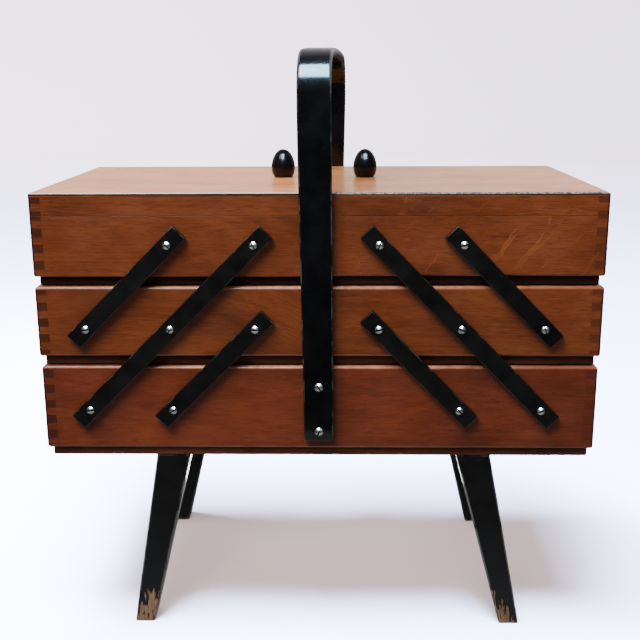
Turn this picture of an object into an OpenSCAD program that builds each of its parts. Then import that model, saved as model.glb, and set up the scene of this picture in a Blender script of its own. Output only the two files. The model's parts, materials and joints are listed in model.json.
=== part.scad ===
// Cantilever sewing box on legs: a base box, two middle trays, two top trays with lids,
// black linkage arms on both faces, and a bentwood handle over the middle.
// X runs to the right, Y to the back, Z up. The origin is on the floor, under the middle.
// All sizes are in millimetres and all angles in degrees.

/* [Boxes] */
// Width across the closed trays
box_w = 440; // [400:1:500]
// Depth of the base box, from front to back
box_d = 224; // [190:1:280]
// Thickness of every wall and lid rail
wall_t = 9; // [8:0.5:12]
// Thickness of every bottom panel
panel_t = 7.4; // [6:0.1:9]
// How far a bottom panel is set in from the walls that stand on it
panel_inset = 3.5; // [2:0.5:5]
// Height of the base box's walls
base_wall_h = 68.6; // [66:0.1:80]
// Height of the middle trays' walls
mid_wall_h = 56.3; // [54:0.1:70]
// Height of the top trays' walls
top_wall_h = 46.9; // [44:0.1:60]
// Height of the rails round each lid
lid_rail_h = 14.4; // [12:0.1:20]
// Thickness of each lid's top
lid_panel_t = 3; // [2.5:0.1:5]
// Height of one finger in the corner joints
finger_h = 6.35; // [5.5:0.05:7.5]

/* [Linkage] */
// Height of the lowest row of pivots above the floor
pivot_z = 193; // [188:0.5:200]
// Height from one row of pivots to the next
pivot_rise = 66; // [62:0.5:68]
// Distance from one column of pivots to the next on the left
left_step = 66; // [60:0.5:68]
// Distance from one column of pivots to the next on the right
right_step = 64; // [60:0.5:68]
// Distance from the left end to the first pivot
left_pivot_inset = 39; // [36:0.5:46]
// Distance from the right end to the first pivot
right_pivot_inset = 45; // [36:0.5:46]
// Width of an arm
arm_w = 14; // [12:0.5:16]
// Thickness of an arm
arm_t = 5; // [4:0.5:6]
// How far an arm runs on past its last pivots
arm_overhang = 14; // [11:0.5:16]

/* [Handle] */
// Height of the handle's top above the floor
handle_top = 472; // [440:1:500]
// Thickness of the bent strip
handle_t = 8; // [6:0.5:9]
// Width of the strip across the grip
handle_w = 25.6; // [22:0.1:28]
// Width of the strip at its two lower ends
handle_end_w = 23.2; // [20:0.1:25]
// Outer radius of the two bends
handle_r = 30; // [28:1:45]
// How far the grip rises between the two bends
handle_crown = 2.5; // [0:0.5:6]

/* [Legs and knobs] */
// Height of the legs
leg_h = 152; // [110:1:180]
// Thickness of a leg, from front to back
leg_t = 20; // [16:0.5:24]
// Width of a leg at its top
leg_top_w = 27.4; // [24:0.1:30]
// Width of a leg at the floor
leg_foot_w = 16.4; // [13:0.1:20]
// How far the legs stand in from the front and back of the base box
leg_inset = 4.8; // [3:0.1:10]
// Largest diameter of a knob
knob_d = 20.5; // [18:0.5:24]
// Height of a knob
knob_h = 24; // [20:0.5:28]

/* [Hidden] */
$fn = 48;

// Clearances: between bodies that pass each other, round a turning pin,
// round the pins that close the parallelogram, and round a fixed screw or glued rail.
rest_gap = 0.3;
turn_gap = 0.05;
loop_gap = 0.25;
fixed_gap = 0.02;
centre_gap = 2;

// Levels, from the legs up.
base_panel_z = leg_h;
base_wall_z = base_panel_z + panel_t;
base_top = base_wall_z + base_wall_h;
mid_panel_z = base_top + rest_gap;
mid_wall_z = mid_panel_z + panel_t;
mid_top = mid_wall_z + mid_wall_h;
top_panel_z = mid_top + rest_gap;
top_wall_z = top_panel_z + panel_t;
tray_top = top_wall_z + top_wall_h;
lid_rail_z = tray_top + rest_gap;
lid_panel_z = lid_rail_z + lid_rail_h;
lid_top = lid_panel_z + lid_panel_t;

// The trays are a little shallower than the base box, so that they clear the handle,
// and reach a little past its ends.
tray_d = box_d - 2 * rest_gap;
base_end = box_w / 2 - 1;

// Height at which each box's first finger starts. The lids and top trays are one box
// that was sawn apart, so they share one row of fingers.
base_finger_top = base_top - 3;
mid_finger_top = mid_top;
lid_finger_top = lid_panel_z + 1.6;
least_finger = 2.5;

// Arms and their screws.
arm_y = box_d / 2 + rest_gap;
arm_corner_r = 0.8;
pivot_r = 1.75;
pivot_head_r = 3;
pivot_head_h = 1.6;
pivot_depth = 7.3;
slot_w = 0.9;
slot_depth = 0.9;

// Handle strip and its screws. It leans a little: each end of it has its own middle in X.
handle_foot_z = 168.6;
handle_full_w_z = 396;
handle_front_x = [0.4, -2.2];
handle_back_x = [4.2, 9.6];
handle_screw_z = [176.3, 213];
handle_screw_r = 2.1;
handle_head_r = 3.3;
handle_head_h = 1.8;
handle_screw_depth = 8;

// Legs: middle of each leg's top and foot in X.
leg_left_x = [-117.8, -148.8];
leg_right_front_x = [124.4, 159.6];
leg_right_back_x = [124.4, 155.2];
leg_y = box_d / 2 - leg_inset - leg_t;
brace_w = 22;
brace_h = 18;
leg_screw_r = 1.75;
leg_screw_head_r = 3.5;
leg_screw_head_h = 2.2;
leg_screw_l = 24;
leg_screw_x = 6;

// Knobs: places on the lids, and the tenon that holds each one.
knob_x = [-32.4, 38.6];
knob_y = 8;
knob_belly = 0.333;
knob_base_ratio = 0.756;
tenon_r = 4;

// Butt hinges between each top tray and its lid, let into the outer ends.
hinge_x = box_w / 2 + rest_gap / 2;
hinge_z = tray_top + rest_gap / 2;
hinge_y = 62;
hinge_l = 30;
knuckles = 5;
barrel_r = 2.2;
hinge_pin_r = 1;
leaf_t = 0.9;
leaf_reach = 8;
hinge_screw_r = 1.1;
hinge_screw_head_r = 2;
hinge_screw_head_h = 0.9;
hinge_screw_l = 8;
hinge_screw_reach = 5;
hinge_screw_y = 9;

// Colours.
wood_colour = "#7a3d18";
base_colour = "#66301a";
lid_colour = "#c08a6a";
panel_colour = "#4a2412";
black_colour = "#101012";
steel_colour = "#b9b6b0";
brass_colour = "#b48a3c";

// Sides and faces are signs: left is -1 and right is 1, front is -1 and back is 1.
left = -1;
right = 1;
front = -1;
back = 1;

// ---- Places ----

// The lowest and highest X of one side's trays.
function tray_x(side) =
    side == left ? [-box_w / 2, -centre_gap / 2] : [centre_gap / 2, box_w / 2];

// X of a column of pivots on one side, counted inwards from 0, and Z of a row, upwards from 0.
function step(side) = side == left ? left_step : right_step;
function first_column(side) =
    side * (box_w / 2 - (side == left ? left_pivot_inset : right_pivot_inset));
function column(side, i) = first_column(side) - side * i * step(side);
function row(i) = pivot_z + i * pivot_rise;

// [x, z] of the pivots that belong to each box.
base_pivots = [for (side = [left, right]) for (i = [0, 1]) [column(side, i), row(0)]];
function mid_pivots(side) = [for (i = [0:2]) [column(side, i), row(1)]];
function top_pivots(side) = [for (i = [1, 2]) [column(side, i), row(2)]];

// The rows of end-wall fingers that show on a wall from z0 to z1, as [low, high].
function finger_rows(z0, z1, start) = [
    for (i = [0:6])
        let (high = start - 2 * i * finger_h, low = high - finger_h)
            if (min(high, z1) - max(low, z0) > least_finger) [low, high]
];

// ---- Shared shapes ----

// A block between two corners.
module block(low, high) {
    translate(low) cube(high - low);
}

// Puts a shape drawn for the front on the front or the back.
module on_face(face) {
    mirror([0, face == back ? 1 : 0, 0]) children();
}

// Puts a shape drawn for the left on the left or the right.
module on_side(side) {
    mirror([side == right ? 1 : 0, 0, 0]) children();
}

// Turns a shape that points up to point out of the front, at [x, z] and depth y.
module out_of_front(place, y) {
    translate([place[0], -y, place[1]]) rotate([90, 0, 0]) children();
}

// A round-headed slotted screw that points up, with its head resting on Z = 0.
module round_screw(shank_r, shank_l, head_r, head_h, slot_turn) {
    dome_r = (head_r * head_r + head_h * head_h) / (2 * head_h);
    difference() {
        union() {
            translate([0, 0, -shank_l]) cylinder(h = shank_l + 0.1, r = shank_r);
            intersection() {
                translate([0, 0, head_h - dome_r]) sphere(dome_r);
                cylinder(h = head_h + 1, r = head_r);
            }
        }
        rotate([0, 0, slot_turn])
            block([-head_r, -slot_w / 2, head_h - slot_depth], [head_r, slot_w / 2, head_h + 1]);
    }
}

// A countersunk screw that points up, with its head flush with Z = 0. The slack widens it,
// for the hole that it goes in.
module flat_screw(shank_r, shank_l, head_r, head_h, slack = 0) {
    difference() {
        union() {
            translate([0, 0, -shank_l - slack]) cylinder(h = shank_l + slack, r = shank_r + slack);
            translate([0, 0, -head_h])
                cylinder(h = head_h, r1 = shank_r + slack, r2 = head_r + slack);
            if (slack > 0) cylinder(h = 1, r = head_r + slack);
        }
        if (slack == 0)
            block([-head_r, -slot_w / 3, -head_h / 2], [head_r, slot_w / 3, 1]);
    }
}

// A front or back wall, for the front, with the end walls' fingers cut out of its ends
// and a hole for each screw in holes, as [x, z, radius].
module long_wall(x, z0, z1, depth, start, holes, gap = 0) {
    difference() {
        block([x[0], -depth / 2, z0], [x[1], -depth / 2 + wall_t, z1]);
        for (r = finger_rows(z0, z1, start), end = [0, 1])
            block(
                [end == 0 ? x[0] - 1 : x[1] - wall_t - gap, -depth / 2 - 1, r[0] - gap],
                [end == 0 ? x[0] + wall_t + gap : x[1] + 1, -depth / 2 + wall_t + 1, r[1] + gap]);
        for (h = holes)
            out_of_front(h, depth / 2 + 1)
                mirror([0, 0, 1]) cylinder(h = pivot_depth + 2, r = h[2] + fixed_gap);
    }
}

// An end wall that starts at x, with fingers that reach through the front and back walls.
module end_wall(x, z0, z1, depth, start, gap = 0) {
    half = depth / 2;
    block([x, -half + wall_t + gap, z0], [x + wall_t, half - wall_t - gap, z1]);
    for (r = finger_rows(z0, z1, start))
        block([x, -half, max(r[0], z0)], [x + wall_t, half, min(r[1], z1)]);
}

module bottom_panel(x, z, depth) {
    half = depth / 2 - panel_inset;
    block([x[0] + panel_inset, -half, z], [x[1] - panel_inset, half, z + panel_t]);
}

// Screw holes for a list of pivots.
function pivot_holes(pivots) = [for (p = pivots) [p[0], p[1], pivot_r]];

// The pivot screws of one box, front and back. Their heads stand clear of the arms.
module pivot_screws(pivots, depth) {
    head_y = arm_y + arm_t + rest_gap;
    for (face = [front, back], i = [0:len(pivots) - 1])
        on_face(face) out_of_front(pivots[i], head_y)
            round_screw(pivot_r, head_y - depth / 2 + pivot_depth, pivot_head_r, pivot_head_h,
                25 + 55 * i + 70 * face);
}

// ---- Base box ----

base_x = [-base_end, base_end];

module base_long_wall(face) {
    handle_x = face == front ? handle_front_x[0] : handle_back_x[0];
    color(base_colour) on_face(face)
        long_wall(base_x, base_wall_z, base_top, box_d, base_finger_top,
            concat(pivot_holes(base_pivots),
                [for (z = handle_screw_z) [handle_x, z, handle_screw_r]]));
}

module base_end_wall(side) {
    color(base_colour)
        end_wall(side == left ? -base_end : base_end - wall_t, base_wall_z, base_top,
            box_d, base_finger_top);
}

// [x, y] of every screw that goes down through the base panel into a leg or a brace.
leg_screw_places = concat(
    [for (x = [leg_left_x[0], leg_right_front_x[0]], dx = [-1, 1], face = [front, back])
        [x + dx * leg_screw_x, face * (leg_y + leg_t / 2)]],
    [for (x = [leg_left_x[0], leg_right_front_x[0]], y = [-1, 1]) [x, y * leg_y / 2]]);

module each_leg_screw(slack = 0) {
    for (p = leg_screw_places)
        translate([p[0], p[1], base_wall_z])
            flat_screw(leg_screw_r, leg_screw_l, leg_screw_head_r, leg_screw_head_h, slack);
}

module base_panel() {
    color(panel_colour) difference() {
        bottom_panel(base_x, base_panel_z, box_d);
        each_leg_screw(fixed_gap);
    }
}

// A leg: a flat board that leans out and tapers to its foot. middles are its top and foot in X.
module leg(middles, face) {
    color(black_colour) difference() {
        on_face(face) rotate([90, 0, 0]) translate([0, 0, leg_y]) linear_extrude(leg_t)
            polygon([
                [middles[0] - leg_top_w / 2, leg_h], [middles[0] + leg_top_w / 2, leg_h],
                [middles[1] + leg_foot_w / 2, 0], [middles[1] - leg_foot_w / 2, 0]]);
        each_leg_screw(fixed_gap);
    }
}

module leg_braces() {
    color(black_colour) difference() {
        for (x = [leg_left_x[0], leg_right_front_x[0]])
            block([x - brace_w / 2, -leg_y, leg_h - brace_h], [x + brace_w / 2, leg_y, leg_h]);
        each_leg_screw(fixed_gap);
    }
}

module leg_screws() {
    color(steel_colour) each_leg_screw();
}

module base_pivot_screws() {
    color(steel_colour) pivot_screws(base_pivots, box_d);
}

// ---- Handle ----

handle_y = box_d / 2 + handle_t;
bend_y = handle_y - handle_r;
bend_z = handle_top - handle_crown - handle_r;

// Width of the strip at a height, and the middle of a strip that leans from x[0] to x[1].
function strip_w(z) =
    handle_end_w + (handle_w - handle_end_w)
        * min(1, (z - handle_foot_z) / (handle_full_w_z - handle_foot_z));
function strip_x(x, z) = x[0] + (x[1] - x[0]) * min(1, (z - handle_foot_z) / (bend_z - handle_foot_z));
function grip_x(y) =
    handle_front_x[1] + (handle_back_x[1] - handle_front_x[1]) * (y + handle_y) / (2 * handle_y);

// Cross-sections along the strip: [outer y, outer z, inner y, inner z, middle x, width].
function straight_section(face, z) =
    [face * handle_y, z, face * box_d / 2, z,
     strip_x(face == front ? handle_front_x : handle_back_x, z), strip_w(z)];
function bend_section(face, a) =
    let (y = bend_y + handle_r * cos(a))
        [face * y, bend_z + handle_r * sin(a),
         face * (bend_y + (handle_r - handle_t) * cos(a)), bend_z + (handle_r - handle_t) * sin(a),
         grip_x(face * y), handle_w];
function grip_section(y) =
    let (z = handle_top - handle_crown * pow(y / bend_y, 2))
        [y, z, y, z - handle_t, grip_x(y), handle_w];

straight_heights = [handle_foot_z, base_top, 310, handle_full_w_z];
handle_sections = concat(
    [for (z = straight_heights) straight_section(front, z)],
    [for (a = [0:7.5:90]) bend_section(front, a)],
    [for (i = [-3:3]) grip_section(i * bend_y / 4)],
    [for (a = [90:-7.5:0]) bend_section(back, a)],
    [for (i = [len(straight_heights) - 1:-1:0]) straight_section(back, straight_heights[i])]);

// The four corners of a cross-section, and the faces that join the cross-sections up.
function corners(s) = [
    [s[4] - s[5] / 2, s[0], s[1]], [s[4] + s[5] / 2, s[0], s[1]],
    [s[4] + s[5] / 2, s[2], s[3]], [s[4] - s[5] / 2, s[2], s[3]]];
function side_faces(i) = [
    for (k = [0:3]) let (a = 4 * i + k, b = 4 * i + (k + 1) % 4) each [[a, a + 4, b], [b, a + 4, b + 4]]];

module handle_screw_set(slack = 0) {
    for (face = [front, back], i = [0, 1]) {
        x = face == front ? handle_front_x[0] : handle_back_x[0];
        on_face(face) out_of_front([x, handle_screw_z[i]], handle_y)
            if (slack > 0)
                translate([0, 0, -handle_t - 1])
                    cylinder(h = handle_t + 2, r = handle_screw_r + slack);
            else
                round_screw(handle_screw_r, handle_t + handle_screw_depth, handle_head_r,
                    handle_head_h, 40 + 65 * i);
    }
}

module handle() {
    last = len(handle_sections) - 1;
    color(black_colour) difference() {
        polyhedron(
            points = [for (s = handle_sections) each corners(s)],
            faces = concat(
                [[0, 1, 2], [0, 2, 3]],
                [for (i = [0:last - 1]) each side_faces(i)],
                [[4 * last, 4 * last + 2, 4 * last + 1], [4 * last, 4 * last + 3, 4 * last + 2]]));
        handle_screw_set(fixed_gap);
    }
}

module handle_screws() {
    color(steel_colour) handle_screw_set();
}

// ---- Trays ----

module mid_long_wall(side, face) {
    color(wood_colour) on_face(face)
        long_wall(tray_x(side), mid_wall_z, mid_top, tray_d, mid_finger_top,
            pivot_holes(mid_pivots(side)));
}

module mid_end_walls(side) {
    x = tray_x(side);
    color(wood_colour) for (start = [x[0], x[1] - wall_t])
        end_wall(start, mid_wall_z, mid_top, tray_d, mid_finger_top);
}

module mid_panel(side) {
    color(panel_colour) bottom_panel(tray_x(side), mid_panel_z, tray_d);
}

module mid_pivot_screws(side) {
    color(steel_colour) pivot_screws(mid_pivots(side), tray_d);
}

module top_long_wall(side, face) {
    color(wood_colour) on_face(face)
        long_wall(tray_x(side), top_wall_z, tray_top, tray_d, lid_finger_top,
            pivot_holes(top_pivots(side)));
}

module top_end_walls(side) {
    x = tray_x(side);
    color(wood_colour) difference() {
        for (start = [x[0], x[1] - wall_t])
            end_wall(start, top_wall_z, tray_top, tray_d, lid_finger_top);
        hinge_recess(side);
        on_side(side) each_hinge() hinge_screw_pair(fixed_gap);
    }
}

module top_panel(side) {
    color(panel_colour) bottom_panel(tray_x(side), top_panel_z, tray_d);
}

module top_screws(side) {
    color(steel_colour) pivot_screws(top_pivots(side), tray_d);
    color(brass_colour) on_side(side) each_hinge() hinge_screw_pair();
}

// ---- Lids ----

module lid_rails(side) {
    x = tray_x(side);
    color(wood_colour) difference() {
        union() {
            for (face = [front, back])
                on_face(face)
                    long_wall(x, lid_rail_z, lid_panel_z, tray_d, lid_finger_top, [], fixed_gap);
            for (start = [x[0], x[1] - wall_t])
                end_wall(start, lid_rail_z, lid_panel_z, tray_d, lid_finger_top, fixed_gap);
        }
        hinge_recess(side);
        on_side(side) each_hinge() lid_half() hinge_screw_pair(fixed_gap);
    }
}

module lid_panel(side) {
    x = tray_x(side);
    color(lid_colour) difference() {
        block([x[0], -tray_d / 2, lid_panel_z], [x[1], tray_d / 2, lid_top]);
        translate([knob_x[side == left ? 0 : 1], knob_y, lid_panel_z - 1])
            cylinder(h = lid_panel_t + 2, r = tenon_r + fixed_gap);
    }
}

// Radius of the egg-shaped knob at height h: a short ellipse under the belly and a long one above.
belly_h = knob_h * knob_belly;
under_belly = belly_h / sqrt(1 - knob_base_ratio * knob_base_ratio);
function knob_r(h) =
    knob_d / 2 * sqrt(1 - pow((h - belly_h) / (h < belly_h ? under_belly : knob_h - belly_h), 2));

module lid_knob(side) {
    rings = 20;
    color(black_colour) translate([knob_x[side == left ? 0 : 1], knob_y, lid_top]) {
        rotate_extrude() polygon(concat(
            [[0, 0]],
            [for (i = [0:rings - 1]) let (h = knob_h * sin(90 * i / rings)) [knob_r(h), h]],
            [[0, knob_h]]));
        translate([0, 0, -lid_panel_t]) cylinder(h = lid_panel_t + 1, r = tenon_r);
    }
}

module lid_hinge_screws(side) {
    color(brass_colour) on_side(side) each_hinge() lid_half() hinge_screw_pair();
}

// ---- Hinges ----
// Each hinge is drawn for the left side, with its axis along Y through the origin and its
// leaves reaching towards +X.

module each_hinge() {
    for (y = [-hinge_y, hinge_y])
        translate([-hinge_x, y, hinge_z]) children();
}

// Turns what belongs to the tray's half of a hinge into the lid's half.
module lid_half() {
    mirror([0, 0, 1]) children();
}

// A length of barrel between two places along Y.
module barrel(r, y0, y1) {
    translate([0, y1, 0]) rotate([90, 0, 0]) cylinder(h = y1 - y0, r = r);
}

// One leaf: a plate with countersunk holes and its own knuckles, every other one from first.
module hinge_leaf(first, pin_gap) {
    knuckle = hinge_l / knuckles;
    z1 = -rest_gap / 2;
    clear = barrel_r + rest_gap;
    difference() {
        union() {
            block([clear, -hinge_l / 2, z1 - leaf_t], [leaf_reach, hinge_l / 2, z1]);
            for (i = [first:2:knuckles - 1]) {
                y0 = -hinge_l / 2 + i * knuckle + (i == 0 ? 0 : rest_gap / 2);
                y1 = -hinge_l / 2 + (i + 1) * knuckle - (i == knuckles - 1 ? 0 : rest_gap / 2);
                barrel(barrel_r, y0, y1);
                block([hinge_pin_r + 0.2, y0, z1 - leaf_t], [clear + 0.1, y1, z1]);
            }
        }
        barrel(hinge_pin_r + pin_gap, -hinge_l, hinge_l);
        hinge_screw_pair(fixed_gap);
    }
}

// The two screws of one leaf, flush with the leaf's face and pointing down into the wood.
module hinge_screw_pair(slack = 0) {
    for (y = [-hinge_screw_y, hinge_screw_y])
        translate([hinge_screw_reach, y, -rest_gap / 2])
            flat_screw(hinge_screw_r, hinge_screw_l, hinge_screw_head_r, hinge_screw_head_h, slack);
}

// The pockets for the leaves and barrels in the tray's end wall and the lid's end rail.
module hinge_recess(side) {
    on_side(side) each_hinge() {
        block([-barrel_r, -hinge_l / 2 - fixed_gap, -rest_gap / 2 - leaf_t - fixed_gap],
            [leaf_reach + fixed_gap, hinge_l / 2 + fixed_gap, rest_gap / 2 + leaf_t + fixed_gap]);
        barrel(barrel_r + rest_gap, -hinge_l / 2 - rest_gap, hinge_l / 2 + rest_gap);
    }
}

module hinge_tray_leaves(side) {
    color(brass_colour) on_side(side) each_hinge() hinge_leaf(0, fixed_gap);
}

module hinge_lid_leaves(side) {
    color(brass_colour) on_side(side) each_hinge() lid_half() hinge_leaf(1, turn_gap);
}

module hinge_pins(side) {
    color(brass_colour) on_side(side) each_hinge()
        barrel(hinge_pin_r, -hinge_l / 2, hinge_l / 2);
}

// ---- Arms ----

// A bar with eased corners from the first to the last of its pivots, with a hole at each.
// pivot_count is 2 or 3, and last_gap is the clearance in its last hole.
module arm_outline(pitch, pivot_count, last_gap) {
    length = (pivot_count - 1) * pitch + 2 * arm_overhang;
    r = arm_corner_r;
    difference() {
        translate([-arm_overhang, -arm_w / 2]) {
            translate([r, 0]) square([length - 2 * r, arm_w]);
            translate([0, r]) square([length, arm_w - 2 * r]);
            for (x = [r, length - r], y = [r, arm_w - r]) translate([x, y]) circle(r);
        }
        for (i = [0:pivot_count - 1])
            translate([i * pitch, 0])
                circle(pivot_r + (i == pivot_count - 1 ? last_gap : turn_gap));
    }
}

// An arm that starts at the pivot in the given column and row, and runs up and inwards.
module arm(side, face, start_column, start_row, pivot_count, last_gap) {
    slope = atan2(pivot_rise, -side * step(side));
    pitch = norm([pivot_rise, step(side)]);
    color(black_colour) on_face(face)
        translate([column(side, start_column), -arm_y, row(start_row)])
            rotate([0, -slope, 0]) rotate([90, 0, 0])
                linear_extrude(arm_t) arm_outline(pitch, pivot_count, last_gap);
}

module long_arm(side, face) {
    arm(side, face, 0, 0, 3, turn_gap);
}

module lower_arm(side, face) {
    arm(side, face, 1, 0, 2, loop_gap);
}

module upper_arm(side, face) {
    arm(side, face, 0, 1, 2, loop_gap);
}

// ---- The whole box ----

base_long_wall(front);  // base_wall_front
base_long_wall(back);  // base_wall_back
base_end_wall(left);  // base_wall_left
base_end_wall(right);  // base_wall_right
base_panel();
leg(leg_left_x, front);  // leg_front_left
leg(leg_right_front_x, front);  // leg_front_right
leg(leg_left_x, back);  // leg_back_left
leg(leg_right_back_x, back);  // leg_back_right
leg_braces();
leg_screws();
handle();
handle_screws();
base_pivot_screws();

mid_long_wall(left, front);  // left_mid_wall_front
mid_long_wall(left, back);  // left_mid_wall_back
mid_end_walls(left);  // left_mid_end_walls
mid_panel(left);  // left_mid_panel
mid_pivot_screws(left);  // left_mid_pivot_screws
top_long_wall(left, front);  // left_top_wall_front
top_long_wall(left, back);  // left_top_wall_back
top_end_walls(left);  // left_top_end_walls
top_panel(left);  // left_top_panel
top_screws(left);  // left_top_screws
lid_rails(left);  // left_lid_rails
lid_panel(left);  // left_lid_panel
lid_knob(left);  // left_lid_knob
lid_hinge_screws(left);  // left_lid_hinge_screws
hinge_tray_leaves(left);  // left_hinge_tray_leaves
hinge_lid_leaves(left);  // left_hinge_lid_leaves
hinge_pins(left);  // left_hinge_pins
long_arm(left, front);  // left_long_arm_front
long_arm(left, back);  // left_long_arm_back
lower_arm(left, front);  // left_lower_arm_front
lower_arm(left, back);  // left_lower_arm_back
upper_arm(left, front);  // left_upper_arm_front
upper_arm(left, back);  // left_upper_arm_back

mid_long_wall(right, front);  // right_mid_wall_front
mid_long_wall(right, back);  // right_mid_wall_back
mid_end_walls(right);  // right_mid_end_walls
mid_panel(right);  // right_mid_panel
mid_pivot_screws(right);  // right_mid_pivot_screws
top_long_wall(right, front);  // right_top_wall_front
top_long_wall(right, back);  // right_top_wall_back
top_end_walls(right);  // right_top_end_walls
top_panel(right);  // right_top_panel
top_screws(right);  // right_top_screws
lid_rails(right);  // right_lid_rails
lid_panel(right);  // right_lid_panel
lid_knob(right);  // right_lid_knob
lid_hinge_screws(right);  // right_lid_hinge_screws
hinge_tray_leaves(right);  // right_hinge_tray_leaves
hinge_lid_leaves(right);  // right_hinge_lid_leaves
hinge_pins(right);  // right_hinge_pins
long_arm(right, front);  // right_long_arm_front
long_arm(right, back);  // right_long_arm_back
lower_arm(right, front);  // right_lower_arm_front
lower_arm(right, back);  // right_lower_arm_back
upper_arm(right, front);  // right_upper_arm_front
upper_arm(right, back);  // right_upper_arm_back
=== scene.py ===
import json
import math
import random

import bmesh
import bpy
from mathutils import Matrix, Vector


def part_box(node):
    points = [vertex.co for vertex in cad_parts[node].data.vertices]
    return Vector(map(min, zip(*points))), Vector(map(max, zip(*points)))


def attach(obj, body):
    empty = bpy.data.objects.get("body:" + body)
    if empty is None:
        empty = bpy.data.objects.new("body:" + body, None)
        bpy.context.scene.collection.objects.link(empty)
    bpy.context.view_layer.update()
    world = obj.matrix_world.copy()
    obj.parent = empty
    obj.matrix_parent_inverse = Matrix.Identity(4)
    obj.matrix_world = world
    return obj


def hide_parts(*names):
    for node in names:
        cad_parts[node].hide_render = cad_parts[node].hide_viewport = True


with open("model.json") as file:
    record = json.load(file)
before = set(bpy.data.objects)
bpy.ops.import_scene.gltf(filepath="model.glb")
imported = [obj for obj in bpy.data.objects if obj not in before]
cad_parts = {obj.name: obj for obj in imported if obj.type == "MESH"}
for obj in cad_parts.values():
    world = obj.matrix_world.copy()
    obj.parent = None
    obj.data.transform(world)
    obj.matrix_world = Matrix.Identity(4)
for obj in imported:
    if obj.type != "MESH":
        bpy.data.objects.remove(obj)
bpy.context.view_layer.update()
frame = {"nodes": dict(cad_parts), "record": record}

# A cantilever sewing box in stained wood, black lacquer and nickel-plated screws.
# All lengths are in metres, in the row's own frame: X right, Y back, Z up, floor at 0.

MM = 0.001

# ---- Driving dimensions ----

FINGER_H = 6.35 * MM        # height of one finger in the corner joints
TOP_ROUND = 2.6 * MM        # rounding of the boxes' upper outer edges
CORNER_ROUND = 1.1 * MM     # rounding of the boxes' upright corners
LOWER_ROUND = 2.2 * MM      # rounding of the boxes' lower outer edges
THIN_ARRIS = 0.12 * MM      # easing of the edges that meet when the box is closed
WELD = 0.002 * MM           # vertices closer than this are one
WALL_T = 9 * MM             # thickness of the boxes' walls
SHARP_ANGLE = math.radians(30)
FLAT_ANGLE = math.radians(0.4)
SHORTEST_EDGE = 1.3 * MM    # shorter edges belong to holes and stay sharp
NEAR = 0.2 * MM             # an edge this close to a box's outside lies on it
UPRIGHT = 0.5 * MM          # an edge that rises more than this stands upright

HANDLE_T = 8 * MM           # thickness of the strip
HANDLE_R = 30 * MM          # outer radius of its two bends
HANDLE_CROWN = 2.5 * MM     # rise of the grip's middle
HANDLE_W = 25.6 * MM        # width over the grip
HANDLE_END_W = 23.2 * MM    # width at the lower ends
HANDLE_FULL_W_Z = 396 * MM  # height above which the strip has its full width
HANDLE_FRONT_X = (0.4 * MM, -2.2 * MM)  # centre of the front side, low and high
HANDLE_BACK_X = (4.2 * MM, 9.6 * MM)    # the same at the back
HANDLE_EDGE = 1.6 * MM      # rounding of the strip's long edges
HANDLE_TOP_EDGE = 3.4 * MM  # the same over the grip, worn by hands

SIDES = ("left", "right")
FACES = ("front", "back")


# ---- Materials ----

class Nodes:
    """A node tree, with a short way to make each kind of node."""

    def __init__(self, tree):
        self.tree = tree

    def node(self, kind, **settings):
        made = self.tree.nodes.new(kind)
        for key, value in settings.items():
            setattr(made, key, value)
        return made

    def put(self, socket, value):
        """Links a socket to another one, or sets it."""
        if isinstance(value, bpy.types.NodeSocket):
            self.tree.links.new(value, socket)
        elif isinstance(value, tuple) and len(value) == 3 and socket.type == "RGBA":
            socket.default_value = (*value, 1)
        else:
            socket.default_value = value

    def noises(self, vector, scale, detail, roughness):
        made = self.node("ShaderNodeTexNoise")
        self.put(made.inputs["Vector"], vector)
        made.inputs["Scale"].default_value = scale
        made.inputs["Detail"].default_value = detail
        made.inputs["Roughness"].default_value = roughness
        return made.outputs

    def noise(self, vector, scale, detail=3.0, roughness=0.55):
        return self.noises(vector, scale, detail, roughness)["Fac"]

    def cloud(self, vector, scale, detail):
        """Three noises at once, each from -0.5 to 0.5."""
        three = self.noises(vector, scale, detail, 0.5)["Color"]
        return self.vector("SUBTRACT", three, (0.5, 0.5, 0.5))

    def vector(self, operation, *values):
        made = self.node("ShaderNodeVectorMath", operation=operation)
        for socket, value in zip(made.inputs, values):
            self.put(socket, value)
        return made.outputs["Vector"]

    def ramp(self, fac, stops):
        """A colour ramp: stops are (place, linear colour)."""
        made = self.node("ShaderNodeValToRGB")
        self.put(made.inputs["Fac"], fac)
        elements = made.color_ramp.elements
        while len(elements) < len(stops):
            elements.new(0.5)
        for element, (place, colour) in zip(elements, stops):
            element.position = place
            element.color = (*colour, 1)
        return made.outputs["Color"]

    def step(self, value, low, high, to_low=0.0, to_high=1.0):
        """A smooth step of value from low to high."""
        made = self.node("ShaderNodeMapRange", interpolation_type="SMOOTHSTEP")
        for socket, number in zip(made.inputs, (value, low, high, to_low, to_high)):
            self.put(socket, number)
        return made.outputs["Result"]

    def sum(self, operation, a, b=0.0):
        """One piece of arithmetic: ADD, MULTIPLY, SINE and so on."""
        made = self.node("ShaderNodeMath", operation=operation)
        self.put(made.inputs[0], a)
        self.put(made.inputs[1], b)
        return made.outputs[0]

    def mix(self, fac, a, b):
        """Colour a where fac is 0, and b where it is 1."""
        made = self.node("ShaderNodeMix", data_type="RGBA")
        for index, value in ((0, fac), (6, a), (7, b)):
            self.put(made.inputs[index], value)
        return made.outputs[2]

    def split(self, vector, axis):
        made = self.node("ShaderNodeSeparateXYZ")
        self.put(made.inputs[0], vector)
        return made.outputs[axis]


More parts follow.
